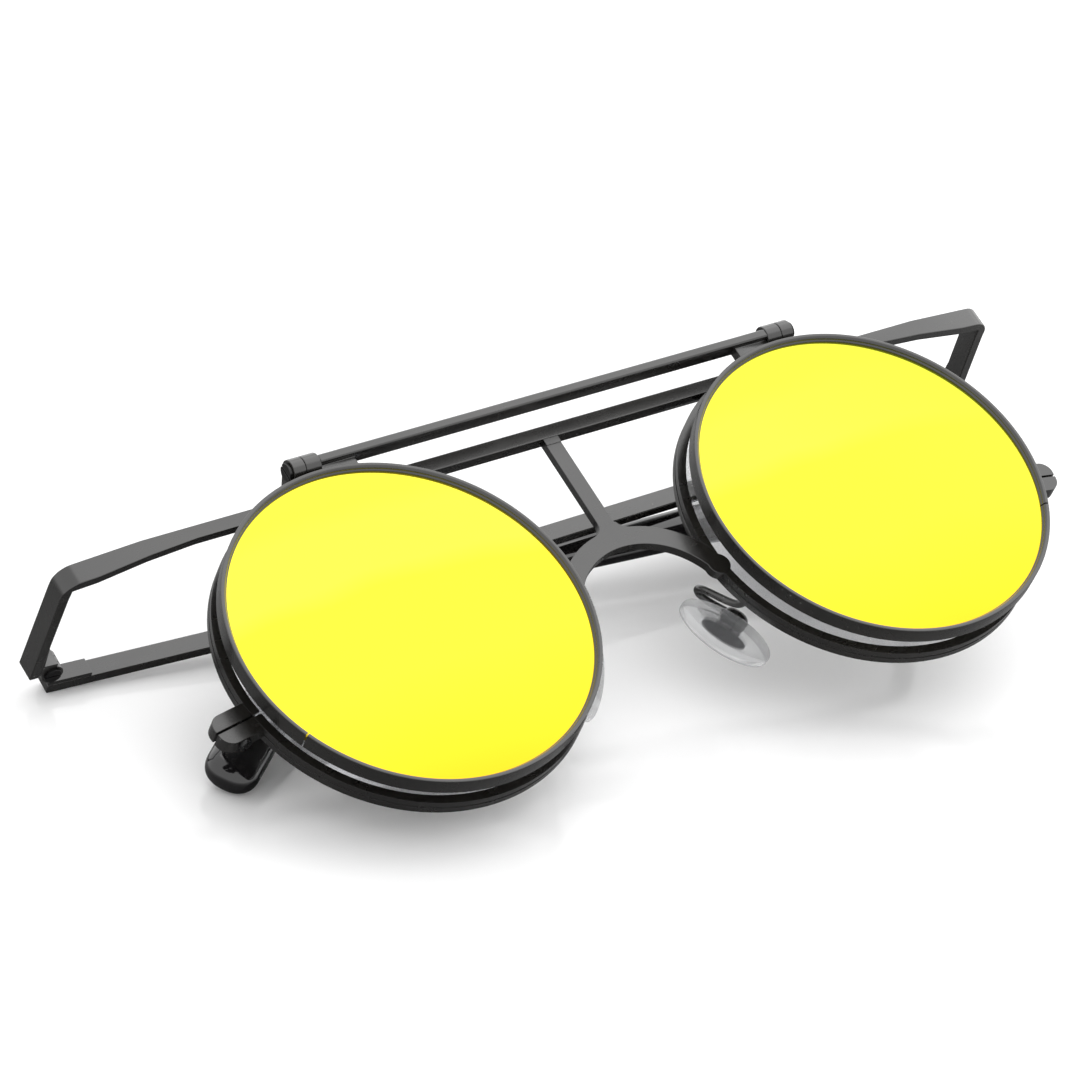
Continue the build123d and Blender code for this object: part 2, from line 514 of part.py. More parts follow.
# Flip-up front: two rims, two lenses, the bar, and the hinge at each end
flip_outer_radius = FLIP_OPENING_RADIUS + FLIP_RIM_WALL
flip_lens_back = FLIP_LENS_FRONT - FLIP_LENS_THICKNESS
for side, hand in SIDES.items():
    rim_axis = Axis((side * LENS_SPACING / 2, 0, 0), (0, 0, 1))
    section = Plane(origin=(side * LENS_SPACING / 2, 0, 0), x_dir=(1, 0, 0), z_dir=(0, -1, 0))
    groove_radius = FLIP_OPENING_RADIUS + LENS_ENTRY + LENS_FIT
    step_radius = FLIP_OPENING_RADIUS + 0.25
    with BuildPart() as flip_rim:
        with BuildSketch(section):
            with BuildLine():
                Polyline(
                    (FLIP_OPENING_RADIUS, FLIP_RIM_BACK), (flip_outer_radius - 0.15, FLIP_RIM_BACK),
                    (flip_outer_radius, FLIP_RIM_BACK + 0.15), (flip_outer_radius, FLIP_RIM_FRONT - 0.15),
                    (flip_outer_radius - 0.15, FLIP_RIM_FRONT), (step_radius + 0.25, FLIP_RIM_FRONT),
                    (step_radius, FLIP_RIM_FRONT - 0.25), (step_radius, FLIP_RIM_FRONT - 0.45),
                    (FLIP_OPENING_RADIUS, FLIP_RIM_FRONT - 0.6), (FLIP_OPENING_RADIUS, FLIP_LENS_FRONT),
                    (groove_radius, FLIP_LENS_FRONT), (groove_radius, flip_lens_back),
                    (FLIP_OPENING_RADIUS, flip_lens_back), close=True,
                )
            make_face()
        revolve(axis=rim_axis)
        with BuildSketch(ring_plane(side, LENS_SPACING / 2, 0, FLIP_RIM_BACK - 1, RIM_SPLIT_ANGLE)):
            with Locations((flip_outer_radius, 0)):
                Rectangle(4 * FLIP_RIM_WALL, RIM_SPLIT_WIDTH)
        extrude(amount=5, mode=Mode.SUBTRACT)
    pieces[f"flip_rim_{hand}"] = flip_rim

    with BuildPart() as flip_lens:
        with BuildSketch(ring_plane(side, LENS_SPACING / 2, 0, flip_lens_back, 0)):
            Circle(FLIP_OPENING_RADIUS + LENS_ENTRY)
        extrude(amount=FLIP_LENS_THICKNESS)
    pieces[f"flip_lens_{hand}"] = flip_lens

    knuckle_start = FLIP_BAR_HALF_LENGTH
    bracket_start = knuckle_start + FLIP_KNUCKLE_LENGTH + SIDE_PLAY
    head_start = bracket_start + FLIP_BRACKET_LENGTH + SIDE_PLAY

    with BuildPart() as flip_knuckle:
        facing_out = Plane(origin=(side * knuckle_start, FLIP_AXIS_Y, FLIP_AXIS_Z), x_dir=(0, 1, 0), z_dir=(side, 0, 0))
        with BuildSketch(facing_out):
            Circle(FLIP_KNUCKLE_RADIUS)
        extrude(amount=FLIP_KNUCKLE_LENGTH)
        with BuildSketch(facing_out.offset(0.4)):
            Circle(FLIP_SCREW_RADIUS)
        extrude(amount=FLIP_KNUCKLE_LENGTH, mode=Mode.SUBTRACT)
    pieces[f"flip_knuckle_{hand}"] = flip_knuckle

    with BuildPart() as flip_bracket:
        with BuildSketch(facing_out.offset(bracket_start - knuckle_start)):
            Circle(FLIP_KNUCKLE_RADIUS)
        extrude(amount=FLIP_BRACKET_LENGTH)
        with BuildSketch(Plane.YZ.offset(side * bracket_start)):
            with BuildLine():
                Polyline(
                    (BAR_TOP, BAR_BACK), (BAR_TOP + 1.1, BAR_BACK), (FLIP_AXIS_Y + 1.4, FLIP_AXIS_Z - 0.5),
                    (FLIP_AXIS_Y - 1.42, FLIP_AXIS_Z - 0.45), (BAR_TOP, BAR_FRONT), close=True,
                )
            make_face()
        extrude(amount=side * FLIP_BRACKET_LENGTH)
        with BuildSketch(facing_out):
            Circle(FLIP_SCREW_RADIUS + RUNNING_FIT)
        extrude(amount=2 * head_start, mode=Mode.SUBTRACT)
    pieces[f"flip_bracket_{hand}"] = flip_bracket

    with BuildPart() as flip_screw:
        with BuildSketch(facing_out.offset(0.4)):
            Circle(FLIP_SCREW_RADIUS)
        extrude(amount=head_start - knuckle_start - 0.4)
        with BuildSketch(facing_out.offset(head_start - knuckle_start)):
            Circle(FLIP_HEAD_RADIUS)
        extrude(amount=FLIP_HEAD_HEIGHT)
        slot_in_head(facing_out.offset(head_start - knuckle_start + FLIP_HEAD_HEIGHT), FLIP_HEAD_RADIUS)
    pieces[f"flip_screw_{hand}"] = flip_screw

with BuildPart() as flip_bar:
    bar_height = FLIP_BAR_TOP - FLIP_BAR_BOTTOM
    with BuildSketch(Plane.XY.offset(FLIP_RIM_BACK)):
        with Locations((0, FLIP_BAR_BOTTOM + bar_height / 2)):
            Rectangle(2 * FLIP_BAR_HALF_LENGTH, bar_height)
    extrude(amount=FLIP_RIM_FRONT - FLIP_RIM_BACK)
    chamfer(flip_bar.edges().filter_by(Axis.X), 0.2)
    with BuildSketch(Plane.XY.offset(FLIP_RIM_BACK)):
        for side in SIDES:
            with Locations((side * (FLIP_BAR_HALF_LENGTH - FLIP_FOOT_WIDTH / 2), FLIP_BAR_BOTTOM + 0.5)):
                Rectangle(FLIP_FOOT_WIDTH, 3, align=(Align.CENTER, Align.MAX))
            with Locations((side * LENS_SPACING / 2, 0)):
                Circle(flip_outer_radius, mode=Mode.SUBTRACT)
    extrude(amount=FLIP_FOOT_DEPTH)
pieces["flip_bar"] = flip_bar

# Lay the assembly on the table: +Z is the table's normal and the origin is under the middle of its box
table = Plane(origin=(0, 0, 0), x_dir=Vector(1, 0, 0) - Vector(*TABLE_NORMAL) * TABLE_NORMAL[0], z_dir=TABLE_NORMAL)
turn_to_table = table.location.inverse()
box = Compound(children=[piece.part.moved(turn_to_table) for piece in pieces.values()]).bounding_box()
settle = Location((-(box.min.X + box.max.X) / 2, -(box.min.Y + box.max.Y) / 2, -box.min.Z))
on_table = settle * turn_to_table

os.makedirs("parts", exist_ok=True)
for label, piece in pieces.items():
    placed = piece.part.moved(on_table)
    placed.label = label
    export_step(placed, f"parts/{label}.step")
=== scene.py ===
import json
from math import cos, pi, radians, sin

import bmesh
import bpy
import numpy as np
from mathutils import Matrix


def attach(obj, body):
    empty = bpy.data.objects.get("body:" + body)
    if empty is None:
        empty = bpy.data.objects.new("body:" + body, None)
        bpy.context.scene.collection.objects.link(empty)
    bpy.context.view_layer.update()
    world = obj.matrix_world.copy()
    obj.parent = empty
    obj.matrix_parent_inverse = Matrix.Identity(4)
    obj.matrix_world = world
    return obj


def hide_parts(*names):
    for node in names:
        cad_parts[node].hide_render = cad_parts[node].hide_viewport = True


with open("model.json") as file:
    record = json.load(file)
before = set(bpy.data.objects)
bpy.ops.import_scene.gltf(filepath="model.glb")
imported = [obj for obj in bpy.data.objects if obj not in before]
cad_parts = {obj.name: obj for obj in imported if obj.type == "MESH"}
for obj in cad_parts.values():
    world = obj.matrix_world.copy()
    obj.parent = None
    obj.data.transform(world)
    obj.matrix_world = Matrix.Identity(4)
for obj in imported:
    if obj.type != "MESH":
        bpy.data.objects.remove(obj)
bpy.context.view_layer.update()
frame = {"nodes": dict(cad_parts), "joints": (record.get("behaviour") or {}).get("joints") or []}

# The front's own frame, in millimetres: X across the front, Y towards the brow, Z out of the
# lenses, with its origin midway between the flip lenses. The table's normal in it gives the
# row frame.
MM = 0.001
TABLE_LEAN = radians(21.84)
TABLE_NORMAL = (0.0686, sin(TABLE_LEAN), cos(TABLE_LEAN))
FLIP_AXIS_POINT = (0.0, 25.6, -0.5)
SIDES = {-1: "left", 1: "right"}

# Flip-up rims and lenses. The rim's land, wall and step are given from the opening and the face.
LENS_CENTRE_X = 35.0
FLIP_OPENING = 23.0
FLIP_OUTER = 23.9
FLIP_FRONT = 0.9
FLIP_BACK = -1.43
FLIP_LAND_INSET = 0.45
FLIP_WALL_INSET = 0.22
FLIP_BEVEL_DEPTH = 0.3
FLIP_WALL_DEPTH = 0.45
FLIP_STEP_DEPTH = 0.6
FLIP_ROUNDING = 0.14
RIM_SPLIT_ANGLE = 27.0
RIM_SPLIT_WIDTH = 0.2
FLIP_LENS_FRONT = 0.1
FLIP_LENS_BACK = -0.8
LENS_ENTRY = 0.42
LENS_CROWN = 0.25
LENS_EDGE = 0.1

# Temples and their sleeves, from the hinges
HINGE = (68.5, 21.7, -22.6)
LEG_SPLAY = 0.069
LEG_DROP = 0.062
FOLD_DROOP = {-1: 0.064, 1: 0.052}
FOLD_SLOPE = {-1: 0.012, 1: 0.075}
SLEEVE_OFFSET = 3.1
SLEEVE_START = 69.0
SLEEVE_LENGTH = 67.5
SLEEVE_BEND_START = 26.0
SLEEVE_BEND_RADIUS = 20.0
SLEEVE_BEND_ANGLE = radians(35)
SLEEVE_HALF_HEIGHT = (2.3, 3.5)
SLEEVE_HALF_THICKNESS = (1.5, 2.2)
SLEEVE_POWER = 2.3
SLEEVE_FULL_AT = 0.8
SLEEVE_MOUTH = 1.6
SLEEVE_MOUTH_SHARE = 0.72
SLEEVE_TAIL_POWER = 2.4
SLEEVE_FIT = 0.99

# Nose pads, the boxes behind them and the wires that carry them
PAD_CENTRE = (10.55, -8.5, -10.5)
PAD_LONG_AXIS = (0.48, -0.877, 0.03)
PAD_FACING = (-0.86, -0.473, -0.12)
PAD_HALF_LENGTH = 6.5
PAD_HALF_WIDTH = 4.1
PAD_HALF_THICKNESS = 0.9
PAD_OUTLINE_POWER = 7
PAD_WALL_POWER = 4
PAD_FULLNESS = 0.06
PAD_DISH = 0.22
PAD_BOX_DEPTH = 2.35
PAD_BOX_HALF = (1.75, 1.5, 1.2)
PAD_BOX_POWER = 2.6
ARM_RADIUS = 0.5
ARM_ROUTE = (
    (12.4, -7.6, -5.95), (12.1, -7.2, -7.4), (9.3, -2.9, -7.6),
    (9.7, -1.9, -9.4), (10.6, -2.9, -10.5), (12.45, -5.97, -10.19),
)
ARM_SIDEWAYS = (0.35, 0.2, 0.9)

# Edges of the pieces that keep their CAD shape
MERGE_DISTANCE = 2e-6
FLAT_ANGLE = radians(0.8)
EDGE_ANGLE = radians(35)
EDGE_SEGMENTS = 2
EDGE_SHARP_ANGLE = radians(40)

# Table, light and view
TABLE_HALF = 3.0
WORLD_STRENGTH = 1.25
BOX_SIZE = 1.1
BOX_DISTANCE = 0.9
BOX_RADIANCE = 0.78
VIEW_FROM = (-358.3, -281.6, 503.0)
VIEW_AT = (-10.4, 7.8, -3.2)
VIEW_UP = (0.2456, 0.7591, 0.6028)
VIEW_LENS = 182.636
VIEW_SENSOR = 36.0
VIEW_CLIP_END = 20.0


def unit(vector):
    """The vector divided by its length."""
    vector = np.asarray(vector, float)
    return vector / np.linalg.norm(vector)


normal = unit(TABLE_NORMAL)
across = unit(np.array([1.0, 0.0, 0.0]) - normal * normal[0])
FRONT_TO_ROW = np.array([across, np.cross(normal, across), normal])
flip_joint = next(j for j in frame["joints"] if j["name"] == "flip_hinge")
ROW_ORIGIN = np.array(flip_joint["pos_m"]) - FRONT_TO_ROW @ np.array(FLIP_AXIS_POINT) * MM


def to_row(points):
    """Points of the front's frame in millimetres, turned and moved to the row frame in metres."""
    return np.asarray(points, float) * MM @ FRONT_TO_ROW.T + ROW_ORIGIN


# Meshes
def add_object(name, data):
    """An object for a mesh, a light or a camera, in the scene."""
    thing = bpy.data.objects.new(name, data)
    bpy.context.scene.collection.objects.link(thing)
    return thing


def mesh_piece(name, points, faces, body, replaces, material, sharp):
    """A closed mesh from row-frame points and faces, turned outwards by the sign of its volume."""
    mesh = bpy.data.meshes.new(name)
    mesh.from_pydata(points.tolist(), [], faces)
    mesh.update()
    work = bmesh.new()
    work.from_mesh(mesh)
    if work.calc_volume(signed=True) < 0:
        bmesh.ops.reverse_faces(work, faces=work.faces)
    work.to_mesh(mesh)
    work.free()
    mesh.shade_smooth()
    mesh.set_sharp_from_angle(angle=radians(sharp))
    mesh.materials.append(material)
    piece = add_object(name, mesh)
    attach(piece, body)
    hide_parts(replaces)
    return piece


def grid_faces(rows, columns):
    """Quads between neighbouring rows of a grid whose columns are closed round."""
    r, c = np.meshgrid(np.arange(rows - 1), np.arange(columns), indexing="ij")
    here, beyond, beside = r * columns, (r + 1) * columns, (c + 1) % columns
    quads = np.stack([here + c, beyond + c, beyond + beside, here + beside], axis=-1)
    return quads.reshape(-1, 4).tolist()


def tube(points):
    """Grid rows closed round and capped: each end row becomes one flat face."""
    rows, columns = points.shape[:2]
    faces = grid_faces(rows, columns)
    faces.append(list(range(columns)))
    faces.append(list(range((rows - 1) * columns, rows * columns))[::-1])
    return points.reshape(-1, 3), faces


def spindle(points):
    """Grid rows closed round whose first and last rows are single points, joined by triangles."""
    rows, columns = points.shape[:2]
    faces = grid_faces(rows - 2, columns)
    flat = np.vstack([points[1:-1].reshape(-1, 3), points[0, :1], points[-1, :1]])
    first, last = len(flat) - 2, len(flat) - 1
    near = np.arange(columns)
    beside = (near + 1) % columns
    far, far_beside = near + (rows - 3) * columns, beside + (rows - 3) * columns
    faces += np.stack([near, beside, np.full(columns, first)], axis=-1).tolist()
    faces += np.stack([far_beside, far, np.full(columns, last)], axis=-1).tolist()
    return flat, faces


def rounded_profile(corners, radius, steps=4, most=0.45):
    """A closed outline whose corners are cut by short curves: each curve is a blend
    (1-t)^2 A + 2t(1-t) C + t^2 B from a point A on the way in to a point B on the way out,
    with the corner C between them. No cut takes more of a side than the share in most."""
    corners = np.array(corners, float)
    to_previous = np.roll(corners, 1, axis=0) - corners
    to_next = np.roll(corners, -1, axis=0) - corners
    length_in = np.linalg.norm(to_previous, axis=1, keepdims=True)
    length_out = np.linalg.norm(to_next, axis=1, keepdims=True)
    reach = np.minimum(radius, most * np.minimum(length_in, length_out))
    start = (corners + to_previous / length_in * reach)[:, None]
    end = (corners + to_next / length_out * reach)[:, None]
    t = np.linspace(0, 1, steps + 1)[None, :, None]
    curve = (1 - t) ** 2 * start + 2 * t * (1 - t) * corners[:, None] + t**2 * end
    return curve.reshape(-1, 2)


def ring(profile, centre, first_angle, last_angle, steps=240):
    """A profile of radius and height carried round a centre: x = r cos a, y = r sin a."""
    angle = np.linspace(first_angle, last_angle, steps)[:, None]
    radius, height = profile[:, 0][None], profile[:, 1][None]
    x = centre[0] + radius * np.cos(angle)
    y = centre[1] + radius * np.sin(angle)
    return np.stack([x, y, np.broadcast_to(height, x.shape)], axis=-1)


def signed_power(value, power):
    """The size of a value raised to a power, with the value's sign: sign(v) |v|^p."""
    return np.sign(value) * np.abs(value) ** power


def carried(centres, side_axes, up_axes, half_sides, half_ups, power, steps):
    """A superellipse |x/a|^p + |y/b|^p = 1 carried along a path, with its half sizes a and b
    given at each station."""
    angle = np.linspace(0, 2 * pi, steps, endpoint=False)
    x = signed_power(np.cos(angle), 2 / power)
    y = signed_power(np.sin(angle), 2 / power)
    return (
        centres[:, None]
        + side_axes[:, None] * (half_sides[:, None] * x[None])[..., None]
        + up_axes[:, None] * (half_ups[:, None] * y[None])[..., None]
    )


def smooth_route(corners, steps):
    """A cubic curve through a route's ends and near its other points: the uniform B-spline
    with tripled ends."""
    p = np.array([corners[0]] * 2 + list(corners) + [corners[-1]] * 2, float)
    spans = len(p) - 3
    u = np.linspace(0, spans - 1e-9, steps)
    k = u.astype(int)
    t = (u - k)[:, None]
    weights = ((1 - t) ** 3, 3 * t**3 - 6 * t**2 + 4, -3 * t**3 + 3 * t**2 + 3 * t + 1, t**3)
    return sum(w / 6 * p[k + i] for i, w in enumerate(weights))


def softened(node, body, slot, material, width):
    """A merged copy of a CAD node with its sharp edges rounded by a bevel of the given width."""
    name = f"{node}_edged"
    mesh = frame["nodes"][node].data.copy()
    mesh.name = name
    work = bmesh.new()
    work.from_mesh(mesh)
    bmesh.ops.remove_doubles(work, verts=work.verts, dist=MERGE_DISTANCE)
    bmesh.ops.dissolve_limit(work, angle_limit=FLAT_ANGLE, verts=work.verts, edges=work.edges)
    work.to_mesh(mesh)
    work.free()
    mesh.materials.clear()
    mesh.materials.append(material)
    mesh.shade_smooth()
    mesh.set_sharp_from_angle(angle=EDGE_SHARP_ANGLE)
    piece = add_object(name, mesh)
    bevel = piece.modifiers.new("edges", "BEVEL")
    bevel.width = width * MM
    bevel.segments = EDGE_SEGMENTS
    bevel.limit_method = "ANGLE"
    bevel.angle_limit = EDGE_ANGLE
    bevel.harden_normals = True
    bevel.use_clamp_overlap = True
    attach(piece, body)
    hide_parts(node)


# Shader nodes
def group(name, inputs, outputs):
    """An empty shader group with named number inputs and outputs, a vector, and its end nodes."""
    tree = bpy.data.node_groups.new(name, "ShaderNodeTree")
    tree.interface.new_socket("Vector", in_out="INPUT", socket_type="NodeSocketVector")
    for label, default in inputs.items():
        socket = tree.interface.new_socket(label, in_out="INPUT", socket_type="NodeSocketFloat")
        socket.default_value = default
    for label in outputs:
        tree.interface.new_socket(label, in_out="OUTPUT", socket_type="NodeSocketFloat")
    return tree, tree.nodes.new("NodeGroupInput"), tree.nodes.new("NodeGroupOutput")


def noise(tree, coordinates, scale, detail, roughness=0.5):
    """A noise node on the given coordinates; scale may be a number or a socket."""
    node = tree.nodes.new("ShaderNodeTexNoise")
    node.inputs["Detail"].default_value = detail
    node.inputs["Roughness"].default_value = roughness
    tree.links.new(coordinates, node.inputs["Vector"])
    if isinstance(scale, float):
        node.inputs["Scale"].default_value = scale
    else:
        tree.links.new(scale, node.inputs["Scale"])
    return node.outputs["Fac"]


def combined(tree, operation, first, second):
    """Two values put together by a Math node's operation."""
    node = tree.nodes.new("ShaderNodeMath")
    node.operation = operation
    tree.links.new(first, node.inputs[0])
    tree.links.new(second, node.inputs[1])
    return node.outputs[0]


def spread(tree, value, low_in, high_in, low_out, high_out):
    """Carries a value from one span to another; any end may be a number or a socket."""
    node = tree.nodes.new("ShaderNodeMapRange")
    tree.links.new(value, node.inputs["Value"])
    ends = {"From Min": low_in, "From Max": high_in, "To Min": low_out, "To Max": high_out}
    for label, end in ends.items():
        if isinstance(end, (int, float)):
            node.inputs[label].default_value = end
        else:
            tree.links.new(end, node.inputs[label])
    return node.outputs["Result"]


def mixed(tree, share, first, second):
    """A colour between two others; each may be a colour or a socket."""
    node = tree.nodes.new("ShaderNodeMix")
    node.data_type = "RGBA"
    tree.links.new(share, node.inputs["Factor"])
    for label, colour in (("A", first), ("B", second)):
        socket = next(s for s in node.inputs if s.name == label and s.type == "RGBA")
        if isinstance(colour, tuple):
            socket.default_value = (*colour, 1.0)
        else:
            tree.links.new(colour, socket)
    return next(s for s in node.outputs if s.type == "RGBA")


def stretched(tree, coordinates, scale, rotation=(0.0, 0.0, 0.0)):
    """Coordinates scaled and turned, which stretches the pattern that reads them."""
    node = tree.nodes.new("ShaderNodeMapping")
    node.inputs["Scale"].default_value = scale
    node.inputs["Rotation"].default_value = rotation
    tree.links.new(coordinates, node.inputs["Vector"])
    return node.outputs["Vector"]


# Effects that several finishes share
def make_surface_grain():
    """Fine unevenness of a coat: two noises, one small and one broad, added up as a height."""
    tree, start, end = group("surface_grain", {"Fine": 4000.0, "Broad": 300.0}, ["Height"])
    place = start.outputs["Vector"]
    fine = noise(tree, place, start.outputs["Fine"], detail=2.0)
    broad = noise(tree, place, start.outputs["Broad"], detail=2.0)
    tree.links.new(combined(tree, "ADD", fine, broad), end.inputs["Height"])
    return tree


def make_handling():
    """Faint smears left by handling: a broad stretched noise carried to a span of roughness."""
    tree, start, end = group(
        "handling_smears", {"Scale": 90.0, "Clean": 0.1, "Smeared": 0.2}, ["Roughness"]
    )
    place = stretched(tree, start.outputs["Vector"], (1.0, 2.6, 1.0), (0.2, 0.3, 0.7))
    smear = noise(tree, place, start.outputs["Scale"], detail=4.0, roughness=0.6)
    mask = spread(tree, smear, 0.45, 0.7, 0.0, 1.0)
    rough = spread(tree, mask, 0.0, 1.0, start.outputs["Clean"], start.outputs["Smeared"])
    tree.links.new(rough, end.inputs["Roughness"])
    return tree


def make_dust():
    """Sparse specks: the cores of a cell pattern where a second noise lets them through."""
    tree, start, end = group("dust_specks", {"Scale": 900.0, "Amount": 0.5}, ["Mask"])
    place = start.outputs["Vector"]
    cells = tree.nodes.new("ShaderNodeTexVoronoi")
    tree.links.new(place, cells.inputs["Vector"])
    tree.links.new(start.outputs["Scale"], cells.inputs["Scale"])
    core = spread(tree, cells.outputs["Distance"], 0.05, 0.11, 1.0, 0.0)
    patches = noise(tree, place, 240.0, detail=1.0)
    gate = spread(tree, patches, 0.6, 0.66, 0.0, start.outputs["Amount"])
    tree.links.new(combined(tree, "MULTIPLY", core, gate), end.inputs["Mask"])
    return tree


GRAIN = make_surface_grain()
HANDLING = make_handling()
DUST = make_dust()


# Materials
def new_material(name):
    """A material with only its output, its principled shader and its object coordinates."""
    material = bpy.data.materials.new(name)
    material.use_nodes = True
    tree = material.node_tree
    shader = tree.nodes["Principled BSDF"]
    place = tree.nodes.new("ShaderNodeTexCoord").outputs["Object"]
    return material, tree, shader, place


def use(tree, node_group, place, **values):
    """One of the shared groups, on the material's coordinates, with its own values."""
    node = tree.nodes.new("ShaderNodeGroup")
    node.node_tree = node_group
    tree.links.new(place, node.inputs["Vector"])
    for label, value in values.items():
        node.inputs[label].default_value = value
    return node


def add_bump(tree, shader, height, strength, distance):
    """A bump of the given strength from a height in front of the shader's normal."""
    bump = tree.nodes.new("ShaderNodeBump")
    bump.inputs["Strength"].default_value = strength
    bump.inputs["Distance"].default_value = distance
    tree.links.new(height, bump.inputs["Height"])
    tree.links.new(bump.outputs["Normal"], shader.inputs["Normal"])


def add_grain(tree, shader, place, fine, broad, strength, distance):
    """The shared grain as a bump, with its own scales."""
    grain = use(tree, GRAIN, place, Fine=fine, Broad=broad)
    add_bump(tree, shader, grain.outputs["Height"], strength, distance)


def add_smears(tree, shader, place, scale, clean, smeared):
    """The shared smears as roughness, from the clean value to the smeared one."""
    smears = use(tree, HANDLING, place, Scale=scale, Clean=clean, Smeared=smeared)
    tree.links.new(smears.outputs["Roughness"], shader.inputs["Roughness"])


def drifting(tree, place, first, second, scale, detail=2.0, low=0.3, high=0.7):
    """A colour that drifts between two others: a noise from low to high gives the share."""
    share = spread(tree, noise(tree, place, scale, detail), low, high, 0.0, 1.0)
    return mixed(tree, share, first, second)


def paint(name, base, lighter, clean, smeared, metallic=0.0, coat=0.0):
    """Sprayed paint on metal: broad colour drift, fine grain, smears in the roughness and a
    few specks."""
    material, tree, shader, place = new_material(name)
    colour = drifting(tree, place, base, lighter, 60.0, detail=3.0, low=0.35, high=0.65)
    specks = use(tree, DUST, place, Scale=700.0, Amount=0.35)
    colour = mixed(tree, specks.outputs["Mask"], colour, (0.3, 0.3, 0.3))
    tree.links.new(colour, shader.inputs["Base Color"])
    add_smears(tree, shader, place, 120.0, clean, smeared)
    shader.inputs["Metallic"].default_value = metallic
    shader.inputs["Coat Weight"].default_value = coat
    shader.inputs["Coat Roughness"].default_value = 0.22
    add_grain(tree, shader, place, 5200.0, 700.0, strength=0.12, distance=0.00004)
    return material


def make_acetate():
    """Polished black sheet plastic: nearly black, very smooth, with faint smears and a soft
    long ripple."""
    material, tree, shader, place = new_material("black_acetate")
    colour = drifting(tree, place, (0.004, 0.004, 0.005), (0.009, 0.008, 0.008), 35.0)
    tree.links.new(colour, shader.inputs["Base Color"])
    add_smears(tree, shader, place, 80.0, clean=0.05, smeared=0.13)
    shader.inputs["Coat Weight"].default_value = 0.6
    shader.inputs["Coat Roughness"].default_value = 0.03
    add_grain(tree, shader, place, 260.0, 70.0, strength=0.05, distance=0.0003)
    return material


def make_mirror():
    """A yellow mirror coat: a metal whose tint runs from orange at the lower edge through
    yellow to a paler band towards the brow, and to green at one upper corner. Each tint takes
    over between two heights, and the height wanders a little with a noise."""
    material, tree, shader, place = new_material("yellow_mirror")
    axes = tree.nodes.new("ShaderNodeSeparateXYZ")
    tree.links.new(place, axes.inputs["Vector"])
    wander = spread(tree, noise(tree, place, 30.0, detail=2.0), 0.0, 1.0, -0.004, 0.004)
    level = combined(tree, "ADD", axes.outputs["Y"], wander)
    colour = (0.8, 0.42, 0.012)
    for tint, low, high, share in (
        ((0.82, 0.63, 0.03), -0.027, -0.011, 1.0),
        ((0.8, 0.68, 0.05), 0.0, 0.0025, 1.0),
        ((0.79, 0.7, 0.036), 0.009, 0.012, 0.6),
    ):
        colour = mixed(tree, spread(tree, level, low, high, 0.0, share), colour, tint)
    corner = combined(tree, "ADD", axes.outputs["X"], level)
    green = spread(tree, corner, 0.03, 0.064, 0.0, 1.0)
    colour = mixed(tree, green, colour, (0.48, 0.56, 0.035))
    edge = tree.nodes.new("ShaderNodeLayerWeight")
    edge.inputs["Blend"].default_value = 0.2
    colour = mixed(tree, edge.outputs["Facing"], colour, (0.72, 0.66, 0.06))
    tree.links.new(colour, shader.inputs["Base Color"])
    shader.inputs["Metallic"].default_value = 1.0
    add_smears(tree, shader, place, 60.0, clean=0.05, smeared=0.11)
    add_grain(tree, shader, place, 1500.0, 60.0, strength=0.01, distance=0.0001)
    return material


def make_lens_back():
    """The uncoated back of a mirror lens: dark smoky plastic with faint smears."""
    material, tree, shader, place = new_material("smoky_lens_back")
    colour = drifting(tree, place, (0.09, 0.085, 0.07), (0.12, 0.115, 0.09), 30.0)
    tree.links.new(colour, shader.inputs["Base Color"])
    add_smears(tree, shader, place, 60.0, clean=0.05, smeared=0.12)
    return material


def make_clear_lens():
    """Clear lens plastic with a faint blue tint, smooth but for handling smears."""
    material, tree, shader, place = new_material("clear_lens_blue")
    colour = drifting(tree, place, (0.86, 0.88, 0.97), (0.9, 0.92, 0.98), 30.0)
    tree.links.new(colour, shader.inputs["Base Color"])
    add_smears(tree, shader, place, 70.0, clean=0.01, smeared=0.04)
    shader.inputs["Transmission Weight"].default_value = 1.0
    shader.inputs["IOR"].default_value = 1.5
    shader.inputs["Alpha"].default_value = 0.35
    return material


def make_silicone():
    """Clear soft silicone: lets light through, slightly milky, with a fine moulded skin."""
    material, tree, shader, place = new_material("clear_silicone_pad")
    clear, milky = (0.93, 0.94, 0.95), (0.86, 0.87, 0.89)
    colour = drifting(tree, place, clear, milky, 500.0, detail=3.0, low=0.35, high=0.65)
    tree.links.new(colour, shader.inputs["Base Color"])
    add_smears(tree, shader, place, 260.0, clean=0.12, smeared=0.25)
    shader.inputs["Transmission Weight"].default_value = 0.9
    shader.inputs["IOR"].default_value = 1.41
    shader.inputs["Alpha"].default_value = 0.55
    add_grain(tree, shader, place, 3500.0, 600.0, strength=0.1, distance=0.00003)
    return material


def make_pad_metal():
    """Plain stamped metal: a grey metal brushed one way, rougher where it is lighter."""
    material, tree, shader, place = new_material("stamped_metal")
    lines = stretched(tree, place, (1.0, 14.0, 14.0))
    brushed = noise(tree, lines, 700.0, detail=3.0)
    share = spread(tree, brushed, 0.3, 0.7, 0.0, 1.0)
    colour = mixed(tree, share, (0.1, 0.1, 0.1), (0.22, 0.22, 0.23))
    tree.links.new(colour, shader.inputs["Base Color"])
    tree.links.new(spread(tree, share, 0.0, 1.0, 0.22, 0.38), shader.inputs["Roughness"])
    shader.inputs["Metallic"].default_value = 1.0
    add_bump(tree, shader, brushed, strength=0.08, distance=0.00003)
    return material


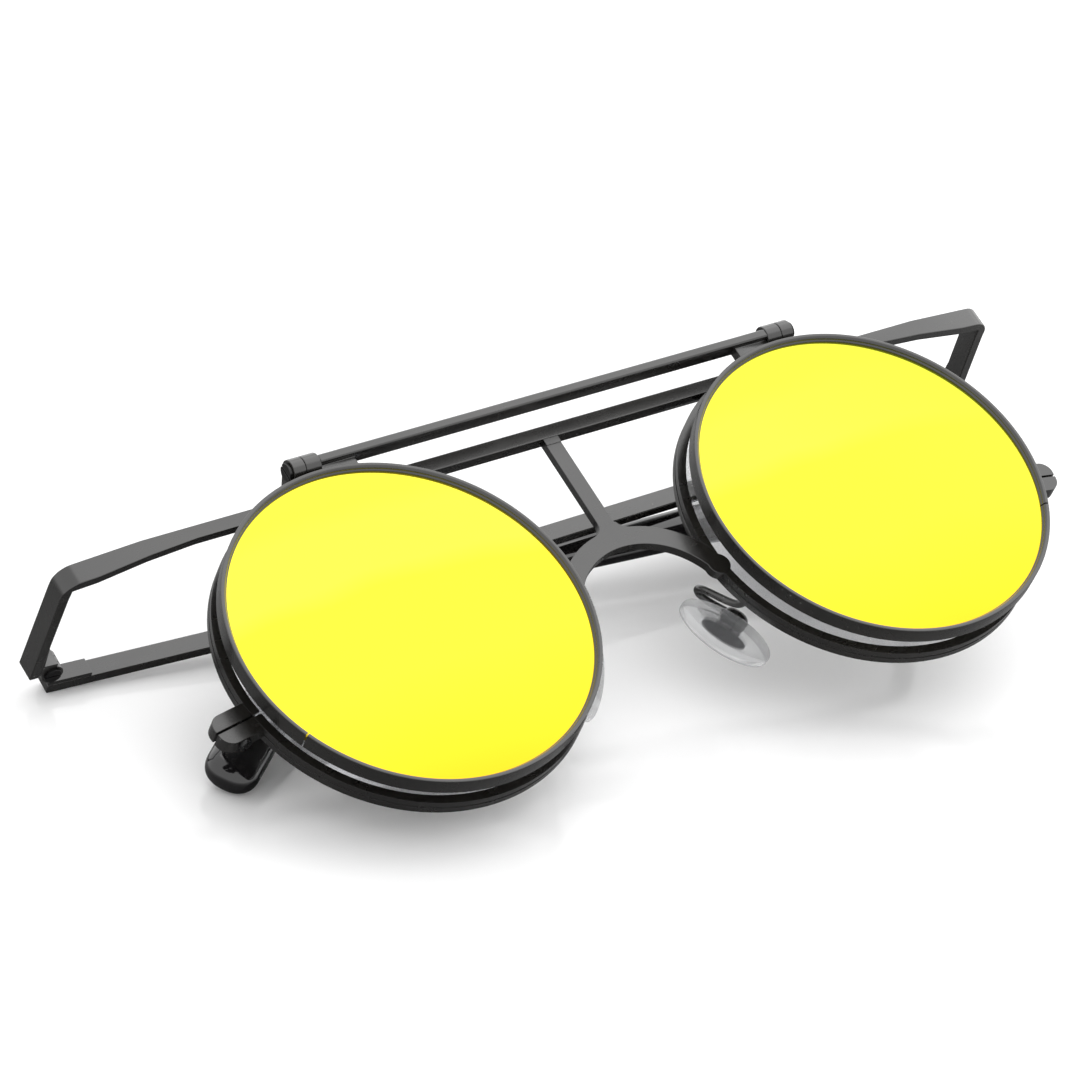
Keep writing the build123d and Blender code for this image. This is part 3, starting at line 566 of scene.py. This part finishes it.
def make_table():
    """A glossy white table top with a faint drift. To rays mirrored off a glossy surface, but not
    to rays that pass through a clear one, it is painted dark grey: a painted shade that stands in
    for the shadowed table under the frame, so that black metal stays black."""
    material, tree, shader, place = new_material("white_table")
    drift = spread(tree, noise(tree, place, 3.0, detail=2.0), 0.3, 0.7, 0.0, 1.0)
    white = mixed(tree, drift, (0.93, 0.93, 0.93), (0.95, 0.95, 0.95))
    ray = tree.nodes.new("ShaderNodeLightPath")
    glossy, through = ray.outputs["Is Glossy Ray"], ray.outputs["Is Transmission Ray"]
    # Painted shade: glossy reflections see the table dark grey instead of white, standing in for
    # the shadow under the frame
    painted_shade_in_reflections = combined(tree, "GREATER_THAN", glossy, through)
    colour = mixed(tree, painted_shade_in_reflections, white, (0.1, 0.1, 0.1))
    tree.links.new(colour, shader.inputs["Base Color"])
    tree.links.new(spread(tree, drift, 0.0, 1.0, 0.07, 0.1), shader.inputs["Roughness"])
    shader.inputs["IOR"].default_value = 1.5
    return material


BLACK_PAINT = paint(
    "black_paint", (0.006, 0.0055, 0.005), (0.012, 0.011, 0.0095),
    clean=0.24, smeared=0.36, coat=1.0,
)
SCREW_BLACK = paint(
    "blackened_screw", (0.02, 0.02, 0.02), (0.05, 0.05, 0.05),
    clean=0.25, smeared=0.4, metallic=0.8,
)
ACETATE = make_acetate()
MIRROR = make_mirror()
LENS_BACK = make_lens_back()
CLEAR_LENS = make_clear_lens()
SILICONE = make_silicone()
PAD_METAL = make_pad_metal()


# Flip-up front
def flip_rim(side, hand):
    """A rim section carried round the lens from one side of its split to the other: an outer
    land, an inner bevel and a step down to the lens."""
    land = FLIP_OPENING + FLIP_LAND_INSET
    wall = FLIP_OPENING + FLIP_WALL_INSET
    section = rounded_profile(
        [
            (FLIP_OPENING, FLIP_BACK), (FLIP_OUTER, FLIP_BACK), (FLIP_OUTER, FLIP_FRONT),
            (land, FLIP_FRONT), (wall, FLIP_FRONT - FLIP_BEVEL_DEPTH),
            (wall, FLIP_FRONT - FLIP_WALL_DEPTH), (FLIP_OPENING, FLIP_FRONT - FLIP_STEP_DEPTH),
        ],
        FLIP_ROUNDING,
    )
    split = radians(-RIM_SPLIT_ANGLE if side > 0 else 180 + RIM_SPLIT_ANGLE)
    half_gap = RIM_SPLIT_WIDTH / 2 / FLIP_OUTER
    grid = ring(section, (side * LENS_CENTRE_X, 0), split + half_gap, split + 2 * pi - half_gap)
    points, faces = tube(to_row(grid))
    mesh_piece(
        f"flip_rim_stepped_{hand}", points, faces, "flip_front", f"flip_rim_{hand}",
        BLACK_PAINT, sharp=50,
    )


def flip_lens(side, hand, front_rings=24, back_rings=8, spokes=192):
    """A disc with a crowned front: height = front + crown (1 - (r/R)^2), then a rounded edge
    and a flat back, whose faces get the uncoated finish."""
    radius = FLIP_OPENING + LENS_ENTRY
    face = radius - LENS_EDGE
    r = np.concatenate([
        np.linspace(0, 1, front_rings) * face, [radius, radius],
        np.linspace(1, 0, back_rings) * face,
    ])
    front = FLIP_LENS_FRONT + LENS_CROWN * (1 - (r[:front_rings] / radius) ** 2)
    edge = [FLIP_LENS_FRONT - LENS_EDGE, FLIP_LENS_BACK + LENS_EDGE]
    height = np.concatenate([front, edge, np.full(back_rings, FLIP_LENS_BACK)])
    angle = np.linspace(0, 2 * pi, spokes, endpoint=False)[None]
    x = side * LENS_CENTRE_X + r[:, None] * np.cos(angle)
    y = r[:, None] * np.sin(angle)
    grid = np.stack([x, y, np.broadcast_to(height[:, None], x.shape)], axis=-1)
    points, faces = spindle(to_row(grid))
    lens = mesh_piece(
        f"flip_lens_crowned_{hand}", points, faces, "flip_front", f"flip_lens_{hand}",
        MIRROR, sharp=30,
    )
    lens.data.materials.append(LENS_BACK)
    normals = np.empty(3 * len(lens.data.polygons))
    lens.data.polygons.foreach_get("normal", normals)
    behind = normals.reshape(-1, 3) @ FRONT_TO_ROW[:, 2] < -0.5
    lens.data.polygons.foreach_set("material_index", behind.astype(np.int32))


# Temple sleeves
def fold_frame(side):
    """The hinge origin, the folded temple's direction, the hinge axis and the direction to
    the front."""
    origin = np.array([side * HINGE[0], HINGE[1], HINGE[2]])
    folded = unit((-side, -FOLD_DROOP[side], FOLD_SLOPE[side]))
    opened = unit((side * LEG_SPLAY, -LEG_DROP, -1.0))
    axis = unit(np.cross(folded, opened) * -side)
    return origin, folded, axis, np.cross(folded, axis) * -side


def sleeve(side, hand):
    """A rounded section carried along a straight run, an arc down and a straight end. Its half
    sizes grow evenly up to SLEEVE_FULL_AT of the length and close at the end as
    (1 - u^q)^(1/q), with a short rounded mouth where the strip enters."""
    origin, folded, axis, forward = fold_frame(side)
    tail_length = SLEEVE_HALF_HEIGHT[1]
    body_end = SLEEVE_LENGTH - tail_length
    distance = np.concatenate([
        np.linspace(0, SLEEVE_MOUTH, 8)[:-1], np.linspace(SLEEVE_MOUTH, body_end, 70)[:-1],
        body_end + tail_length * np.sin(np.linspace(0, pi / 2, 18)),
    ])
    past_start = distance - SLEEVE_BEND_START
    turn = np.clip(past_start / SLEEVE_BEND_RADIUS, 0, SLEEVE_BEND_ANGLE)
    before = np.minimum(distance, SLEEVE_BEND_START)
    beyond = np.maximum(past_start - SLEEVE_BEND_RADIUS * SLEEVE_BEND_ANGLE, 0)
    along = before + SLEEVE_BEND_RADIUS * np.sin(turn) + beyond * np.cos(turn)
    height = -SLEEVE_BEND_RADIUS * (1 - np.cos(turn)) - beyond * np.sin(turn)
    path_start = origin + folded * SLEEVE_START - forward * SLEEVE_OFFSET
    centres = path_start + folded * along[:, None] + axis * height[:, None]
    up = axis * np.cos(turn)[:, None] + folded * np.sin(turn)[:, None]
    out = np.broadcast_to(forward, centres.shape)
    share = np.minimum(distance / (SLEEVE_FULL_AT * SLEEVE_LENGTH), 1)
    opening = np.sqrt(1 - (1 - np.minimum(distance / SLEEVE_MOUTH, 1)) ** 2)
    mouth = SLEEVE_MOUTH_SHARE + (1 - SLEEVE_MOUTH_SHARE) * opening
    tail = np.clip((distance - body_end) / tail_length, 0, 1)
    close = (1 - tail**SLEEVE_TAIL_POWER) ** (1 / SLEEVE_TAIL_POWER) * mouth
    half_thickness, half_height = [
        SLEEVE_FIT * (first + (full - first) * share) * close
        for first, full in (SLEEVE_HALF_THICKNESS, SLEEVE_HALF_HEIGHT)
    ]
    grid = carried(centres, out, up, half_thickness, half_height, SLEEVE_POWER, steps=56)
    grid = np.concatenate([np.broadcast_to(centres[:1, None], grid[:1].shape), grid])
    points, faces = spindle(to_row(grid))
    mesh_piece(
        f"temple_sleeve_{hand}", points, faces, f"temple_{hand}", f"temple_tip_{hand}",
        ACETATE, sharp=60,
    )


# Nose pads
def pad_frame(side):
    """The pad's centre, its long axis, its short axis and the direction it faces."""
    mirror = np.array([side, 1, 1])
    long_axis = unit(np.array(PAD_LONG_AXIS) * mirror)
    facing = np.array(PAD_FACING) * mirror
    facing = unit(facing - long_axis * facing.dot(long_axis))
    return np.array(PAD_CENTRE) * mirror, long_axis, np.cross(facing, long_axis), facing


def pad_points(side, x, y, z):
    """Lengths along the pad's long axis, its short axis and the way it faces, as points of the
    row frame."""
    centre, long_axis, short_axis, facing = pad_frame(side)
    z = np.broadcast_to(z, x.shape)
    along = centre + long_axis * x[..., None] + short_axis * y[..., None]
    return to_row(along + facing * z[..., None])


def globe_angles(rings, spokes):
    """Latitudes from pole to pole in a column and angles round the poles in a row."""
    lift = np.linspace(-pi / 2, pi / 2, rings)[:, None]
    return lift, np.linspace(0, 2 * pi, spokes, endpoint=False)[None]


def nose_pad(side, hand):
    """A soft oval pad: r = (cos v)^(2/p) and h = sign(sin v) |sin v|^(2/q) for a latitude v,
    with p = PAD_OUTLINE_POWER and q = PAD_WALL_POWER. It is a plate with a rounded wall, fuller
    at one end, with a shallow dish in the face that meets the nose."""
    lift, angle = globe_angles(40, 96)
    radius = np.abs(np.cos(lift)) ** (2 / PAD_OUTLINE_POWER)
    height = signed_power(np.sin(lift), 2 / PAD_WALL_POWER)
    fuller = 1 + PAD_FULLNESS * np.cos(angle)
    x = PAD_HALF_LENGTH * radius * np.cos(angle)
    y = PAD_HALF_WIDTH * radius * fuller * np.sin(angle) / (1 + PAD_FULLNESS)
    z = PAD_HALF_THICKNESS * height - PAD_DISH * (1 - radius**2) * (height > 0)
    points, faces = spindle(pad_points(side, x, y, z))
    mesh_piece(
        f"nose_pad_soft_{hand}", points, faces, f"nose_pad_{hand}", f"nose_pad_{hand}",
        SILICONE, sharp=60,
    )


def pad_box(side, hand):
    """A rounded box behind the pad: |x/a|^p + |y/b|^p + |z/c|^p = 1, with p = PAD_BOX_POWER."""
    lift, angle = globe_angles(28, 56)
    power = 2 / PAD_BOX_POWER
    flat = np.abs(np.cos(lift)) ** power
    x = PAD_BOX_HALF[0] * flat * signed_power(np.cos(angle), power)
    y = PAD_BOX_HALF[1] * flat * signed_power(np.sin(angle), power)
    z = PAD_BOX_HALF[2] * signed_power(np.sin(lift), power) - PAD_BOX_DEPTH
    points, faces = spindle(pad_points(side, x, y, z))
    mesh_piece(
        f"pad_box_rounded_{hand}", points, faces, "front", f"pad_box_{hand}",
        BLACK_PAINT, sharp=60,
    )


def pad_arm(side, hand):
    """A round wire carried along a smooth loop from the rim to the pad's box. Its section is
    turned by the cross product of the way it runs and one fixed direction."""
    route = smooth_route(np.array(ARM_ROUTE) * (side, 1, 1), steps=80)
    tangent = np.gradient(route, axis=0)
    tangent /= np.linalg.norm(tangent, axis=1, keepdims=True)
    out = np.cross(tangent, np.array(ARM_SIDEWAYS))
    out /= np.linalg.norm(out, axis=1, keepdims=True)
    radius = np.full(len(route), ARM_RADIUS)
    grid = carried(route, out, np.cross(tangent, out), radius, radius, power=2.0, steps=28)
    points, faces = tube(to_row(grid))
    mesh_piece(
        f"pad_arm_wire_{hand}", points, faces, "front", f"pad_arm_{hand}",
        BLACK_PAINT, sharp=60,
    )


for side, hand in SIDES.items():
    flip_rim(side, hand)
    flip_lens(side, hand)
    sleeve(side, hand)
    nose_pad(side, hand)
    pad_box(side, hand)
    pad_arm(side, hand)

# Metal pieces whose CAD shape is right, with their edges rounded: node, body, slot, finish
# and edge width in millimetres
EDGED = [
    ("front_bar", "front", "black_frame", BLACK_PAINT, 0.16),
    ("bar_backing", "front", "black_frame", BLACK_PAINT, 0.08),
    ("bridge", "front", "black_frame", BLACK_PAINT, 0.16),
    ("flip_bar", "flip_front", "black_frame", BLACK_PAINT, 0.1),
]
for hand in SIDES.values():
    EDGED += [
        (f"base_rim_{hand}", "front", "black_frame", BLACK_PAINT, 0.1),
        (f"rim_lock_upper_{hand}", "front", "black_frame", BLACK_PAINT, 0.3),
        (f"rim_lock_lower_{hand}", "front", "black_frame", BLACK_PAINT, 0.3),
        (f"lock_screw_{hand}", "front", "screw_steel", SCREW_BLACK, 0.05),
        (f"pad_screw_{hand}", "front", "screw_steel", SCREW_BLACK, 0.04),
        (f"pad_insert_{hand}", f"nose_pad_{hand}", "pad_metal", PAD_METAL, 0.06),
        (f"hinge_leaf_{hand}", "front", "black_frame", BLACK_PAINT, 0.08),
        (f"hinge_screw_{hand}", "front", "screw_steel", SCREW_BLACK, 0.05),
        (f"flip_bracket_{hand}", "front", "black_frame", BLACK_PAINT, 0.1),
        (f"flip_knuckle_{hand}", "flip_front", "black_frame", BLACK_PAINT, 0.12),
        (f"flip_screw_{hand}", "flip_front", "screw_steel", SCREW_BLACK, 0.06),
        (f"temple_leaf_{hand}", f"temple_{hand}", "black_frame", BLACK_PAINT, 0.06),
        (f"temple_strip_{hand}", f"temple_{hand}", "black_frame", BLACK_PAINT, 0.14),
    ]
for edged_piece in EDGED:
    softened(*edged_piece)

# The base lenses keep their CAD shape and get the clear finish
for hand in SIDES.values():
    frame["nodes"][f"base_lens_{hand}"].material_slots[0].material = CLEAR_LENS

# Table
table_mesh = bpy.data.meshes.new("table_top")
corners = [(x * TABLE_HALF, y * TABLE_HALF, 0) for x, y in ((-1, -1), (1, -1), (1, 1), (-1, 1))]
table_mesh.from_pydata(corners, [], [(0, 1, 2, 3)])
table_mesh.materials.append(make_table())
table_top = add_object("table_top", table_mesh)


# Light and camera
def aimed(thing, place, aim, upright):
    """Puts a lamp or a camera at a place and points it at another, with a direction upright."""
    back = unit(np.subtract(place, aim))
    right = unit(np.cross(upright, back))
    basis = np.eye(4)
    basis[:3] = np.column_stack([right, np.cross(back, right), back, place])
    thing.matrix_world = Matrix(basis.tolist())


world = bpy.data.worlds.new("studio")
world.use_nodes = True
background = world.node_tree.nodes["Background"]
background.inputs["Color"].default_value = (1.0, 1.0, 1.0, 1.0)
background.inputs["Strength"].default_value = WORLD_STRENGTH
bpy.context.scene.world = world

# One softbox stands where the lenses mirror it towards the camera
towards_box = FRONT_TO_ROW @ unit(np.array(VIEW_FROM) * (-1, -1, 1))
lens_box = bpy.data.lights.new("lens_box", "AREA")
lens_box.shape = "SQUARE"
lens_box.size = BOX_SIZE
lens_box.energy = BOX_RADIANCE * pi * BOX_SIZE**2
lamp = add_object("lens_box", lens_box)
aimed(lamp, towards_box * BOX_DISTANCE, (0.0, 0.0, 0.0), (0.0, 1.0, 0.0))

camera_data = bpy.data.cameras.new("camera")
camera_data.lens = VIEW_LENS
camera_data.sensor_width = VIEW_SENSOR
camera_data.clip_end = VIEW_CLIP_END
camera = add_object("camera", camera_data)
aimed(camera, *to_row([VIEW_FROM, VIEW_AT]), FRONT_TO_ROW @ np.array(VIEW_UP))
bpy.context.scene.camera = camera
bpy.context.scene.view_settings.view_transform = "Standard"

bpy.context.view_layer.update()
